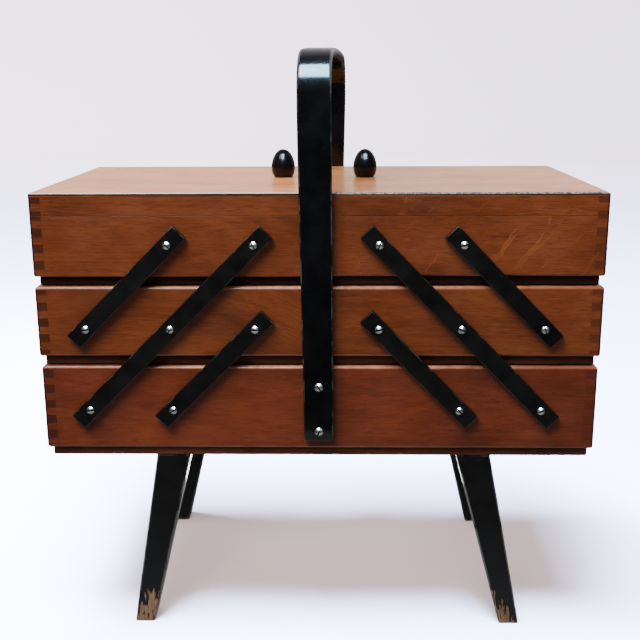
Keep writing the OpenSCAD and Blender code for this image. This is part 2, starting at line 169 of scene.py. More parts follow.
class Shader(Nodes):
    """A material's nodes."""

    def __init__(self, name):
        self.material = bpy.data.materials.new(name)
        self.material.use_nodes = True
        super().__init__(self.material.node_tree)
        self.tree.nodes.clear()
        output = self.node("ShaderNodeOutputMaterial")
        self.surface = self.node("ShaderNodeBsdfPrincipled")
        self.tree.links.new(self.surface.outputs["BSDF"], output.inputs["Surface"])
        coords = self.node("ShaderNodeTexCoord")
        self.place = coords.outputs["Object"]
        self.facing = coords.outputs["Normal"]

    def set(self, **values):
        """Sets the surface's sockets: base_color means Base Color."""
        for key, value in values.items():
            self.put(self.surface.inputs[key.replace("_", " ").title().replace("Ior", "IOR")],
                     value)

    def moved(self, scale=(1, 1, 1), offset=(0, 0, 0), vector=None):
        """The vector, or the place on the piece, stretched and then shifted."""
        made = self.node("ShaderNodeMapping")
        self.put(made.inputs["Vector"], vector or self.place)
        made.inputs["Location"].default_value = offset
        made.inputs["Scale"].default_value = scale
        return made.outputs["Vector"]

    def bump(self, height, strength, distance):
        """Raises the surface by height. distance is the relief's depth."""
        made = self.node("ShaderNodeBump")
        made.inputs["Strength"].default_value = strength
        made.inputs["Distance"].default_value = distance
        self.put(made.inputs["Height"], height)
        self.put(self.surface.inputs["Normal"], made.outputs["Normal"])


# Wood in linear colours: dark line, middle and light of the grain.
TRAY_TONE = ((0.125, 0.026, 0.006), (0.240, 0.053, 0.014), (0.330, 0.085, 0.024))
BASE_TONE = ((0.120, 0.021, 0.006), (0.225, 0.042, 0.013), (0.310, 0.064, 0.020))
LID_TONE = ((0.42, 0.145, 0.045), (0.60, 0.235, 0.088), (0.72, 0.31, 0.130))
# PLY_TONE is darkened as painted shade of the recessed bands under the boxes, and PLY_SHADE
# paints each level's band darker or lighter by the light it gets: darkest under the top tray,
# lightest low down, where the floor lights it.
PLY_TONE = ((0.030, 0.008, 0.004), (0.060, 0.018, 0.008), (0.09, 0.030, 0.013))
PLY_SHADE = {"base": 2.3, "mid": 1.3, "top": 0.5}   # each level's bottom panel against that
BARE_TONE = ((0.20, 0.10, 0.05), (0.38, 0.22, 0.13), (0.55, 0.37, 0.24))

AXES = {"X": 0, "Y": 1, "Z": 2}
WARP = 0.016                # how far the grain lines wander sideways


def stretched(axis, along):
    """The scale of a pattern drawn out along axis."""
    scale = [1.0] * 3
    scale[AXES[axis]] = along
    return tuple(scale)


def shaded(tone, *shade):
    """A tone with each colour multiplied by shade, one number or one for each channel."""
    shade = shade * 3 if len(shade) == 1 else shade
    return tuple(tuple(c * k for c, k in zip(colour, shade)) for colour in tone)


def scaled(colour, share):
    """One colour multiplied by share."""
    return tuple(share * c for c in colour)


def grain(shader, axis, seed, tone, figure=None):
    """Colour and bump height of stained wood whose grain runs along axis. figure is (x, rate):
    it lifts the pattern's coordinate ever more to the right of x, so the grain bends down."""
    draw = random.Random(seed)
    offset = tuple(draw.uniform(-3, 3) for _ in range(3))
    drift = shader.cloud(shader.moved(stretched(axis, 0.22), offset), 13, 2)
    aside = [WARP] * 3
    aside[AXES[axis]] = 0.0
    place = shader.vector("MULTIPLY_ADD", drift, tuple(aside), shader.place)
    if figure:
        past = shader.sum("MAXIMUM", shader.sum("SUBTRACT", shader.split(shader.place, 0),
                                                figure[0]), 0.0)
        drop = shader.sum("MULTIPLY", shader.sum("MULTIPLY", past, past), figure[1])
        place = shader.vector("MULTIPLY_ADD", drop, (0.0, 0.0, 1.0), place)
    board = shader.moved(stretched(axis, 0.045), offset, place)
    broad_board = shader.moved(stretched(axis, 0.10), offset, place)
    pore_board = shader.moved(stretched(axis, 0.07), offset, place)

    streaks = shader.noise(board, 1350, 6, 0.80)
    broad = shader.noise(broad_board, 150, 3, 0.55)
    contour = shader.noise(broad_board, 30, 1, 0.4)
    rings = shader.sum("SINE", shader.sum("MULTIPLY", contour, 95.0))
    blotch = shader.noise(shader.moved(stretched(axis, 0.5), offset), 26, 4, 0.55)
    pores = shader.step(shader.noise(pore_board, 1700, 3, 0.6), 0.55, 0.66)

    shade = shader.sum("MULTIPLY", streaks, 0.56)
    shade = shader.sum("ADD", shade, shader.sum("MULTIPLY", broad, 0.08))
    shade = shader.sum("ADD", shade, shader.sum("MULTIPLY", rings, 0.020))
    shade = shader.sum("ADD", shade, shader.sum("MULTIPLY", blotch, 0.46))
    colour = shader.ramp(shade, ((0.42, tone[0]), (0.55, tone[1]), (0.68, tone[2])))
    colour = shader.mix(shader.sum("MULTIPLY", pores, 0.60), colour, scaled(tone[0], 0.7))
    height = shader.sum("SUBTRACT", shader.sum("MULTIPLY", streaks, 0.5), pores)
    return colour, height


def ray_flecks(s, seed):
    """A mask of the pale, slanting flecks of a quarter-cut board that faces front."""
    swirl = s.vector("MULTIPLY_ADD", s.cloud(s.moved(offset=(seed, 0, 0)), 70, 3),
                     (0.010, 0.0, 0.010), s.place)
    turned = s.node("ShaderNodeMapping")
    s.put(turned.inputs["Vector"], swirl)
    turned.inputs["Rotation"].default_value = (0, math.radians(52), 0)
    band = s.noise(s.moved((0.16, 1, 1), (seed, 0, 0), turned.outputs["Vector"]), 55, 0)
    ridge = s.step(s.sum("ABSOLUTE", s.sum("SUBTRACT", band, 0.5)), 0.014, 0.0)
    here = s.step(s.noise(s.place, 45, 3), 0.40, 0.62)
    return s.sum("MULTIPLY", ridge, here)


def joint_lines(s, joint):
    """Masks of the dark glue lines round the fingers of a box's corners, and of the painted
    shade along its upright outer edges. joint is the box's low and high corner and the height of
    one of its rows of fingers."""
    low, high, start = joint
    facing_side = s.step(s.sum("ABSOLUTE", s.split(s.facing, 0)), 0.4, 0.6)
    inward = []
    for i in (0, 1):
        at = s.split(s.place, i)
        inward.append(s.sum("MINIMUM", s.sum("ABSOLUTE", s.sum("SUBTRACT", at, low[i])),
                            s.sum("ABSOLUTE", s.sum("SUBTRACT", at, high[i]))))
    swap = s.sum("MULTIPLY", facing_side, s.sum("SUBTRACT", inward[1], inward[0]))
    inward = s.sum("ADD", inward[0], swap)
    wobble = s.sum("MULTIPLY", s.noise(s.place, 160, 2), 0.5 * MM)
    row = s.sum("PINGPONG", s.sum("ADD", s.sum("SUBTRACT", s.split(s.place, 2), start), wobble),
                FINGER_H / 2)
    rows = s.sum("MULTIPLY", s.step(row, 0.55 * MM, 0.15 * MM),
                 s.step(inward, WALL_T + 0.2 * MM, WALL_T - 0.2 * MM))
    end = s.sum("ABSOLUTE", s.sum("SUBTRACT", inward, WALL_T))
    lines = s.sum("MAXIMUM", rows, s.step(end, 0.5 * MM, 0.1 * MM, 0.0, 0.3))
    upright = s.step(s.sum("ABSOLUTE", s.split(s.facing, 2)), 0.6, 0.4)
    faint = s.step(s.noise(s.place, 130, 3), 0.35, 0.6, 0.25, 0.9)
    # Painted shade along the box's upright outer edges.
    corner = s.sum("MULTIPLY", s.step(inward, 2.6 * MM, 1.2 * MM), upright)
    return s.sum("MULTIPLY", s.sum("MULTIPLY", lines, upright), faint), corner


def wood(name, axis, tone, seed, end_dark=0.42, coat=0.35, rough=0.36, joint=None, sides=None,
         rim=None, figure=None, flecks=0.0, specular=0.5):
    """Varnished wood, darker on its end grain. joint places the finger joints and the painted
    shade along the upright outer edges, as in joint_lines. sides is the tone of the faces that
    don't look up or down, and rim is the height above which those are near black. figure bends
    the grain, and flecks is how strong the ray flecks are."""
    s = Shader(name)
    colour, height = grain(s, axis, seed, tone, figure)
    if flecks:
        colour = s.mix(s.sum("MULTIPLY", ray_flecks(s, seed), flecks), colour,
                       scaled(tone[2], 1.7))
    if sides:
        level = s.step(s.sum("ABSOLUTE", s.split(s.facing, 2)), 0.5, 0.7)
        side_colour = grain(s, axis, seed, sides)[0]
        above = s.step(s.split(s.place, 2), rim - 0.15 * MM, rim + 0.05 * MM, 0.0, 0.93)
        side_colour = s.mix(above, side_colour, (0.006, 0.003, 0.002))
        colour = s.mix(level, side_colour, colour)
    along = s.sum("ABSOLUTE", s.split(s.facing, AXES[axis]))
    end = s.step(along, 0.55, 0.85)
    speckle = s.noise(s.place, 900, 3, 0.6)
    end_colour = s.ramp(speckle, ((0.3, scaled(tone[1], 0.6 * end_dark)),
                                  (0.7, scaled(tone[1], end_dark))))
    colour = s.mix(end, colour, end_colour)
    if joint:
        lines, corner = joint_lines(s, joint)
        colour = s.mix(s.sum("MULTIPLY", lines, 1.1 - end_dark), colour, scaled(tone[1], 0.16))
        # Painted shade along the upright outer edges.
        colour = s.mix(s.sum("MULTIPLY", corner, 0.8), colour, scaled(tone[1], 0.12))
    darkening = s.step(s.noise(s.place, 9, 4, 0.6), 0.38, 0.75, 0.0, 0.35)
    colour = s.mix(darkening, colour, scaled(tone[1], 0.5))
    smears = s.noise(s.moved(offset=(seed * 0.37, 0.2, 0.1)), 26, 4, 0.6)
    s.set(base_color=colour, roughness=s.step(smears, 0.3, 0.75, rough - 0.07, rough + 0.12),
          coat_weight=coat, coat_roughness=0.16, specular_ior_level=specular)
    s.bump(height, 0.35, 0.00012)
    return s.material


def worn_wood_and_painted_light(name, axis, tone, seed):
    """Wood on an eased edge. The varnish has thinned and the stain is paler on the edges that
    look up, from wear and a painted highlight, most of all near the middle of the box, where the
    painted highlight is strongest. The upright edges are painted dark, as shade."""
    s = Shader(name)
    colour, height = grain(s, axis, seed, tone)
    rubbed = s.step(s.noise(s.place, 90, 4, 0.6), 0.30, 0.62, 0.35, 1.0)
    # Painted highlight: strongest near the middle of the box, fading towards its ends.
    middle_highlight = s.step(s.sum("ABSOLUTE", s.split(s.place, 0)), 210 * MM, 20 * MM, 0.25, 1.0)
    # Painted highlight: edges that look up are paler than those that look down.
    level = s.step(s.split(s.facing, 2), 0.0, 0.5, 0.25, 1.0)
    wear_and_highlight = s.sum("MULTIPLY", s.sum("MULTIPLY", rubbed, middle_highlight), level)
    # Painted shade: the upright edges are darkened.
    upright = s.step(s.sum("ABSOLUTE", s.split(s.facing, 2)), 0.06, 0.02, 0.0, 0.85)
    # The pale colour is wear and a painted highlight.
    colour = s.mix(wear_and_highlight, colour, (0.64, 0.25, 0.14))
    s.set(base_color=s.mix(upright, colour, scaled(tone[0], 0.3)), roughness=0.34,
          coat_weight=s.step(wear_and_highlight, 0.0, 1.0, 0.2, 0.65), coat_roughness=0.2)
    s.bump(height, 0.3, 0.0001)
    return s.material


def lid_edge(name, axis, tone, seed, chipped):
    """The arris round a lid: pale on top, from wear and a painted highlight, and dark below, as
    painted shade. chipped, from 0 to 1, is how dull and broken the pale line is."""
    s = Shader(name)
    colour, height = grain(s, axis, seed, tone)
    chips = s.step(s.noise(s.moved(offset=(seed * 0.31, 0, 0)), 480, 4, 0.7), 0.44, 0.56,
                   0.0, chipped)
    # The unchipped pale line is mostly a painted highlight, whitest where least chipped.
    whole = scaled((0.84, 0.72, 0.70), 1.0 - 0.62 * chipped)
    pale = s.mix(0.9, colour, s.mix(chips, whole, (0.06, 0.038, 0.042)))
    # Painted shade: the arris is near black where it faces front, below the painted highlight.
    upward = s.step(s.split(s.facing, 2), 0.30, 0.55)
    s.set(base_color=s.mix(upward, scaled(TRAY_TONE[0], 0.12), pale),
          roughness=0.3 + 0.25 * chipped, coat_weight=0.6 - 0.5 * chipped, coat_roughness=0.16)
    s.bump(height, 0.3, 0.0001)
    return s.material


def lacquer(name, seed, rough=0.3, coat=0.0, wear=0.0, foot=None, specular=0.4, rubbed=None,
            coat_rough=0.06):
    """Black lacquer on wood. wear rubs patches of an edge down to the colour rubbed. foot is
    (outer x, inner x, height at the outer edge, height at the inner edge) of a leg's scuffed
    end, where bare wood shows."""
    s = Shader(name)
    draw = random.Random(seed)
    offset = tuple(draw.uniform(-2, 2) for _ in range(3))
    here = s.moved(offset=offset)
    cloud = s.noise(here, 30, 4, 0.6)
    black = s.ramp(cloud, ((0.3, (0.0022, 0.0022, 0.0028)), (0.75, (0.0062, 0.0056, 0.0056))))
    roughness = s.step(s.noise(here, 60, 5, 0.65), 0.3, 0.75, rough - 0.06, rough + 0.13)
    height = s.noise(s.moved((1, 1, 0.2), offset), 420, 4, 0.6)
    masks = []
    if wear:
        rub = s.noise(here, 75, 5, 0.7)
        masks.append((s.step(rub, 0.70 - 0.3 * wear, 0.78 - 0.3 * wear), rubbed))
    if foot:
        outer, inner, low, high = foot
        limit = s.step(s.split(s.place, 0), outer, inner, low, high)
        streak = s.sum("SUBTRACT", s.noise(s.moved((1, 1, 0.16), offset), 420, 4, 0.65), 0.5)
        level = s.sum("ADD", s.sum("DIVIDE", s.split(s.place, 2), limit),
                      s.sum("MULTIPLY", streak, 5.0))
        bare = grain(s, "Z", seed, BARE_TONE)[0]
        masks.append((s.step(level, 0.48, 0.32), bare))
        # Painted reflection of the bright floor: the black turns lighter and bluer low on the
        # leg.
        floor_sheen = s.step(s.split(s.place, 2), 110 * MM, 20 * MM, 0.0, 0.7)
        black = s.mix(floor_sheen, black, (0.0125, 0.0135, 0.0165))
    for mask, under in masks:
        black = s.mix(mask, black, under)
        roughness = s.sum("ADD", roughness, s.sum("MULTIPLY", mask, 0.25))
        height = s.sum("SUBTRACT", height, s.sum("MULTIPLY", mask, 1.2))
    s.set(base_color=black, roughness=roughness, coat_weight=coat,
          coat_roughness=coat_rough, specular_ior_level=specular)
    s.bump(height, 0.18, 0.00012)
    return s.material


def metal(name, bright, dull, rough, seed):
    """Polished metal with clouds of tarnish."""
    s = Shader(name)
    here = s.moved(offset=(seed, 0.3 * seed, 0.7))
    tarnish = s.step(s.noise(here, 420, 5, 0.65), 0.42, 0.68)
    scratch = s.noise(s.moved((1, 1, 7), (seed, 0, 0)), 900, 3, 0.6)
    s.set(base_color=s.mix(tarnish, bright, dull), metallic=1.0,
          roughness=s.step(tarnish, 0, 1, rough, rough + 0.22))
    s.bump(scratch, 0.12, 0.00004)
    return s.material


# ---- Shapes ----

def body_of(node):
    for body, nodes in frame["record"]["behaviour"]["bodies"].items():
        if node in nodes:
            return body


def finished(obj, node, materials):
    """Gives a piece its materials and body, in place of its CAD node."""
    for material in materials:
        obj.data.materials.append(material)
    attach(obj, body_of(node))
    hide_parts(node)
    return obj


def mesh_object(name, bm):
    mesh = bpy.data.meshes.new(name)
    bm.to_mesh(mesh)
    bm.free()
    obj = bpy.data.objects.new(name, mesh)
    bpy.context.scene.collection.objects.link(obj)
    return obj


def islands(bm):
    """The separate solids of a mesh, as (lowest corner, highest corner, vertices)."""
    left = set(bm.verts)
    found = []
    while left:
        stack = [left.pop()]
        group = []
        while stack:
            vert = stack.pop()
            group.append(vert)
            for edge in vert.link_edges:
                other = edge.other_vert(vert)
                if other in left:
                    left.remove(other)
                    stack.append(other)
        found.append((Vector([min(v.co[i] for v in group) for i in range(3)]),
                      Vector([max(v.co[i] for v in group) for i in range(3)]), group))
    return sorted(found, key=lambda it: tuple(round(it[0][i], 4) for i in (1, 0, 2)))


def eased(node, name, radius_of, largest, segments=3, edge_slot=0, keep=None):
    """A copy of a CAD node with its edges rounded: radius_of(edge) gives each radius, up to
    the largest one, and keep(size) picks some of its solids. The rounded edges take the
    material at edge_slot."""
    bm = bmesh.new()
    bm.from_mesh(frame["nodes"][node].data)
    bmesh.ops.remove_doubles(bm, verts=bm.verts, dist=WELD)
    if keep:
        gone = [vert for low, high, group in islands(bm) if not keep(high - low)
                for vert in group]
        bmesh.ops.delete(bm, geom=gone, context="VERTS")
    bmesh.ops.dissolve_limit(bm, angle_limit=FLAT_ANGLE, verts=bm.verts, edges=bm.edges)
    weight = bm.edges.layers.float.new("bevel_weight_edge")
    for edge in bm.edges:
        round_off = 0
        if (len(edge.link_faces) == 2 and edge.is_convex
                and edge.calc_face_angle(0) > SHARP_ANGLE
                and edge.calc_length() > SHORTEST_EDGE):
            round_off = radius_of(edge) / largest
        if round_off:
            edge[weight] = round_off
        elif edge.calc_face_angle(0) > SHARP_ANGLE:
            edge.smooth = False
    for face in bm.faces:
        face.smooth = True
    obj = mesh_object(name, bm)
    bevel = obj.modifiers.new("eased", "BEVEL")
    bevel.limit_method = "WEIGHT"
    bevel.width = largest
    bevel.segments = segments
    bevel.use_clamp_overlap = False
    bevel.material = edge_slot
    bevel.face_strength_mode = "FSTR_ALL"
    flat = obj.modifiers.new("flat_faces", "WEIGHTED_NORMAL")
    flat.keep_sharp = True
    flat.use_face_influence = True
    return obj


def middle(edge):
    return (edge.verts[0].co + edge.verts[1].co) / 2


def box_edges(low, high, top, bottom):
    """Radii for a wall or rail of a box: top and bottom on its outer edges, CORNER_ROUND on
    its upright corners, and none where its pieces meet."""
    def radius(edge):
        at = middle(edge)
        on_x = min(abs(at.x - low.x), abs(at.x - high.x)) < NEAR
        on_y = min(abs(at.y - low.y), abs(at.y - high.y)) < NEAR
        if on_x and on_y:
            return CORNER_ROUND
        if (on_x or on_y) and abs(at.z - high.z) < NEAR:
            return top
        if (on_x or on_y) and abs(at.z - low.z) < NEAR:
            return bottom
        return 0
    return radius


def shared_box(nodes):
    """The low and high corner of a box round all the nodes."""
    boxes = [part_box(node) for node in nodes]
    low = Vector([min(b[0][i] for b in boxes) for i in range(3)])
    high = Vector([max(b[1][i] for b in boxes) for i in range(3)])
    return low, high


def slab(outline, low_y, high_y, edge):
    """A plate that stands across Y. outline is its convex shape as (x, z) corners, each with
    its own outward direction, and edge rounds the rims of both faces."""
    steps = 4
    turns = [math.radians(90) * i / steps for i in range(steps + 1)]
    rows = [(edge * (1 - math.sin(a)), low_y + edge * (1 - math.cos(a))) for a in turns]
    rows += [(edge * (1 - math.sin(a)), high_y - edge * (1 - math.cos(a))) for a in turns[::-1]]
    bm = bmesh.new()
    rings = [[bm.verts.new((x - inset * out_x, y, z - inset * out_z))
              for x, z, out_x, out_z in outline] for inset, y in rows]
    count = len(outline)
    for k, (a, b) in enumerate(zip(rings, rings[1:])):
        for i in range(count):
            j = (i + 1) % count
            face = bm.faces.new((a[i], a[j], b[j], b[i]))
            face.smooth = True
            face.material_index = 0 if k == steps else 1
    bm.faces.new(rings[0])
    bm.faces.new(rings[-1])
    bmesh.ops.recalc_face_normals(bm, faces=bm.faces)
    return bm


def lathe(profile, segments):
    """A closed solid of revolution about Z. profile is [(radius, height)] from the bottom
    up, and starts and ends on the axis."""
    bm = bmesh.new()
    rings = []
    for radius, height in profile[1:-1]:
        rings.append([bm.verts.new((radius * math.cos(a), radius * math.sin(a), height))
                      for a in (2 * math.pi * i / segments for i in range(segments))])
    for lower, upper in zip(rings, rings[1:]):
        for i in range(segments):
            j = (i + 1) % segments
            bm.faces.new((lower[i], lower[j], upper[j], upper[i]))
    for ring, (_, height), turn in ((rings[0], profile[0], -1), (rings[-1], profile[-1], 1)):
        tip = bm.verts.new((0, 0, height))
        for i in range(segments):
            j = (i + 1) % segments
            corners = (ring[i], ring[j], tip) if turn > 0 else (ring[j], ring[i], tip)
            bm.faces.new(corners)
    for face in bm.faces:
        face.smooth = True
    return bm


# ---- Handle ----

LENGTH_STEPS = 24           # sections in each upright side, in each bend and in the grip
RIM_STEPS = 5               # steps round each of a section's four corners


def handle():
    """The bent strip, swept through sections that lean, widen and round off more on top."""
    low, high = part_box("handle")
    half_depth = high.y
    bend_y = half_depth - HANDLE_R
    bend_z = high.z - HANDLE_CROWN - HANDLE_R
    inner = HANDLE_R - HANDLE_T / 2

    def leaning(x, z):
        return x[0] + (x[1] - x[0]) * min(1, (z - low.z) / (bend_z - low.z))

    def across(y):
        share = (y + half_depth) / (2 * half_depth)
        return HANDLE_FRONT_X[1] + (HANDLE_BACK_X[1] - HANDLE_FRONT_X[1]) * share

    def width(z):
        share = min(1, (z - low.z) / (HANDLE_FULL_W_Z - low.z))
        return HANDLE_END_W + (HANDLE_W - HANDLE_END_W) * share

    # Sections along the strip: (centre, outward normal, width, inset).
    mid_y = half_depth - HANDLE_T / 2
    end_steps = [(0.0, 0.9 * MM), (0.25 * MM, 0.4 * MM), (0.9 * MM, 0.0)]
    straight = [low.z + (bend_z - low.z) * i / LENGTH_STEPS for i in range(1, LENGTH_STEPS)]

    def side(sign, x):
        heights = [(low.z + up, inset) for up, inset in end_steps]
        heights += [(z, 0.0) for z in straight]
        return [(Vector((leaning(x, z), sign * mid_y, z)), Vector((0, sign, 0)), width(z), inset)
                for z, inset in heights]

    def bend(sign):
        made = []
        for i in range(LENGTH_STEPS + 1):
            a = math.radians(90) * i / LENGTH_STEPS
            y = sign * (bend_y + inner * math.cos(a))
            made.append((Vector((across(y), y, bend_z + inner * math.sin(a))),
                         Vector((0, sign * math.cos(a), math.sin(a))), HANDLE_W, 0.0))
        return made

    sections = side(-1, HANDLE_FRONT_X) + bend(-1)
    half_steps = LENGTH_STEPS // 2
    for i in range(1 - half_steps, half_steps):
        y = bend_y * i / half_steps
        z = high.z - HANDLE_T / 2 - HANDLE_CROWN * (y / bend_y) ** 2
        slope = -2 * HANDLE_CROWN * y / bend_y ** 2
        sections.append((Vector((across(y), y, z)), Vector((0, -slope, 1)).normalized(),
                         HANDLE_W, 0.0))
    sections += bend(1)[::-1] + side(1, HANDLE_BACK_X)[::-1]

    bm = bmesh.new()
    rings = []
    for centre, outward, wide, inset in sections:
        ring = []
        half_w = wide / 2 - inset
        half_t = HANDLE_T / 2 - inset
        rise = max(0, min(1, (centre.z - bend_z) / HANDLE_R))
        edge = HANDLE_EDGE + (HANDLE_TOP_EDGE - HANDLE_EDGE) * rise
        for sx, sn, start in ((1, 1, 0), (-1, 1, 90), (-1, -1, 180), (1, -1, 270)):
            for k in range(RIM_STEPS + 1):
                a = math.radians(start + 90 * k / RIM_STEPS)
                u = sx * (half_w - edge) + edge * math.cos(a)
                v = sn * (half_t - edge) + edge * math.sin(a)
                ring.append(bm.verts.new(centre + Vector((u, 0, 0)) + outward * v))
        rings.append(ring)
    count = len(rings[0])
    for a, b in zip(rings, rings[1:]):
        for i in range(count):
            j = (i + 1) % count
            strip = bm.faces.new((a[i], b[i], b[j], a[j]))
            # The strip's rounded edges take the worn lacquer: wear, and a painted highlight
            # along them.
            on_rim = 1 <= i % (RIM_STEPS + 1) <= 3
            strip.material_index = 1 if on_rim else 0
    bm.faces.new(rings[0])
    bm.faces.new(rings[-1][::-1])
    bmesh.ops.recalc_face_normals(bm, faces=bm.faces)
    for face in bm.faces:
        face.smooth = len(face.verts) == 4
    obj = mesh_object("handle_strip", bm)
    return finished(obj, "handle", [
        lacquer("handle_lacquer", 5, rough=0.24, coat=0.62, specular=0.06, coat_rough=0.13),
        # Wear and a painted highlight on the strip's rounded edges.
        lacquer("handle_edge_wear_and_highlight", 6, rough=0.34, coat=0.5, wear=0.7, specular=0.3,
                rubbed=(0.050, 0.045, 0.044))])


# ---- Knobs ----

KNOB_BELLY = 0.333          # height of the widest place, as a share of the knob's
KNOB_BASE_RATIO = 0.756     # radius where it stands on the lid, as a share of the widest
KNOB_LIP = 0.35 * MM        # easing of its lower edge
KNOB_RINGS = 36
TENON_R = 4 * MM


def knob(side):
    """An egg-shaped knob, with the tenon that goes into the lid."""
    node = f"{side}_lid_knob"
    low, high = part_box(node)
    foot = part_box(f"{side}_lid_panel")[1].z
    height = high.z - foot
    widest = (high.x - low.x) / 2
    belly = KNOB_BELLY * height
    under = belly / math.sqrt(1 - KNOB_BASE_RATIO ** 2)

    def radius(h):
        reach = under if h < belly else height - belly
        return widest * math.sqrt(max(0, 1 - ((h - belly) / reach) ** 2))

    profile = [(0, low.z - foot), (TENON_R, low.z - foot), (TENON_R, 0.0),
               (radius(0) - KNOB_LIP, 0.0), (radius(0) - 0.1 * KNOB_LIP, 0.4 * KNOB_LIP)]
    for i in range(1, KNOB_RINGS):
        h = height * math.sin(math.radians(90) * i / KNOB_RINGS)
        profile.append((radius(h), h))
    profile.append((0, height))
    bm = lathe(profile, 72)
    centre = Vector(((low.x + high.x) / 2, (low.y + high.y) / 2, foot))
    bmesh.ops.translate(bm, verts=bm.verts, vec=centre)
    obj = mesh_object(f"{side}_knob", bm)
    return finished(obj, node, [lacquer(f"{side}_knob_lacquer", 11 + len(side), rough=0.20,
                                        coat=0.16, specular=0.12)])


# ---- Screws ----

PIVOT_SCREW = {"head_h": 1.6 * MM, "slot_w": 1.0 * MM, "shank_r": 1.75 * MM}
HANDLE_SCREW = {"head_h": 1.8 * MM, "slot_w": 1.1 * MM, "shank_r": 2.1 * MM}
SLOT_DEPTH = 0.7            # as a share of the head's height
HEAD_RIM = 0.2 * MM         # height of a head's rim, where the dome starts
DOME_STEPS = 10


def round_screw(shank_r, shank_l, head_r, head_h, slot_w):
    """A slotted round-headed screw that points up, with its head's underside at Z = 0."""
    slot_depth = SLOT_DEPTH * head_h
    dome_r = (head_r ** 2 + head_h ** 2) / (2 * head_h)
    first = math.asin(head_r / dome_r)
    turns = [first * (1 - i / DOME_STEPS) for i in range(1, DOME_STEPS)]
    dome = [(dome_r * math.sin(a), head_h - dome_r + dome_r * math.cos(a)) for a in turns]
    profile = [(0, -shank_l), (shank_r * 0.3, -shank_l), (shank_r, -shank_l + shank_r),
               (shank_r, -0.02 * MM), (head_r - 0.25 * MM, 0.0), (head_r, HEAD_RIM)]
    profile += [point for point in dome if point[1] > HEAD_RIM + 0.05 * MM]
    profile.append((0, head_h))
    bm = lathe(profile, 40)
    cutter = bmesh.new()
    bmesh.ops.create_cube(cutter, size=1)
    bmesh.ops.scale(cutter, verts=cutter.verts, vec=(3 * head_r, slot_w, 2 * head_h))
    bmesh.ops.translate(cutter, verts=cutter.verts, vec=(0, 0, 2 * head_h - slot_depth))
    whole = mesh_object("screw_whole", bm)
    slot = mesh_object("screw_slot", cutter)
    cut = whole.modifiers.new("slot", "BOOLEAN")
    cut.operation = "DIFFERENCE"
    cut.object = slot
    cut.solver = "EXACT"
    ease = whole.modifiers.new("ease", "BEVEL")
    ease.width = 0.09 * MM
    ease.segments = 2
    ease.limit_method = "ANGLE"
    ease.angle_limit = math.radians(40)
    evaluated = whole.evaluated_get(bpy.context.evaluated_depsgraph_get())
    ready = bpy.data.meshes.new_from_object(evaluated)
    for obj in (whole, slot):
        bpy.data.objects.remove(obj)
    # The slot's faces take the second material, which paints them dark as shade.
    for face in ready.polygons:
        if abs(face.center.y) < 0.51 * slot_w and face.center.z < head_h - 0.25 * slot_depth:
            face.material_index = 1 if face.center.z > 0.1 * MM else 0
    return ready


def face_screws(node, seed, head_h, slot_w, shank_r):
    """The round-headed screws of a node that point out of the front and back, as one mesh.
    The slots take the second material, near black as painted shade, and its other screws keep
    their shape and take the third."""
    draw = random.Random(seed)
    bm = bmesh.new()
    bm.from_mesh(frame["nodes"][node].data)
    bmesh.ops.remove_doubles(bm, verts=bm.verts, dist=WELD)
    places = []
    gone = []
    for low, high, group in islands(bm):
        if high.y - low.y > 2 * (high.z - low.z) or high.y - low.y > 2 * (high.x - low.x):
            places.append((low, high))
            gone += group
    bmesh.ops.delete(bm, geom=gone, context="VERTS")
    for face in bm.faces:
        face.material_index = 2
    rest = bpy.data.meshes.new("rest")
    bm.to_mesh(rest)
    bm.clear()
    low, high = places[0]
    source = round_screw(shank_r, high.y - low.y - head_h, (high.x - low.x) / 2, head_h, slot_w)
    for low, high in places:
        sign = -1 if low.y < 0 else 1
        outer = low.y if sign < 0 else high.y
        centre = (low + high) / 2
        copy = source.copy()
        copy.transform(Matrix.Translation((centre.x, outer - sign * head_h, centre.z))
                       @ Matrix.Rotation(math.radians(-90 * sign), 4, "X")
                       @ Matrix.Rotation(math.radians(draw.uniform(0, 180)), 4, "Z"))
        bm.from_mesh(copy)
        bpy.data.meshes.remove(copy)
    bm.from_mesh(rest)
    for mesh in (source, rest):
        bpy.data.meshes.remove(mesh)
    for face in bm.faces:
        face.smooth = True
    for edge in bm.edges:
        edge.smooth = edge.calc_face_angle(0) < SHARP_ANGLE
    return mesh_object(f"{node}_heads", bm)


# ---- The wooden pieces ----

# Where one row of fingers starts in each box, and how dark end grain is on each side.
FINGER_START = {"base": 225 * MM, "mid": 292 * MM, "top": 362.9 * MM}
END_DARK = {"left": 0.40, "right": 0.76}

# The boards with a figure of their own.
FIGURED = {"left_mid_wall_front": {"figure": (-100 * MM, 2.9)},
           "right_top_wall_front": {"flecks": 0.45}}


def wall_materials(name, axis, tone, seed, joint, end_dark, **looks):
    return [wood(f"{name}_wood", axis, tone, seed, joint=joint, end_dark=end_dark, **looks),
            worn_wood_and_painted_light(f"{name}_edge", axis, tone, seed)]


def make_wall(node, box_nodes, level, axis, tone, seed, end_dark, top=TOP_ROUND):
    """One wall of a box, or its pair of end walls. The lid shelters the top tray, so its
    edges keep the wood of its faces, without the wear, painted highlight and painted shade
    of the other boxes' edges."""
    low, high = shared_box(box_nodes)
    obj = eased(node, f"{node}_board", box_edges(low, high, top, LOWER_ROUND), TOP_ROUND, 4,
                edge_slot=0 if level == "top" else 1)
    joint = (low, high, FINGER_START[level])
    return finished(obj, node, wall_materials(node, axis, tone, seed, joint, end_dark,
                                              **FIGURED.get(node, {})))


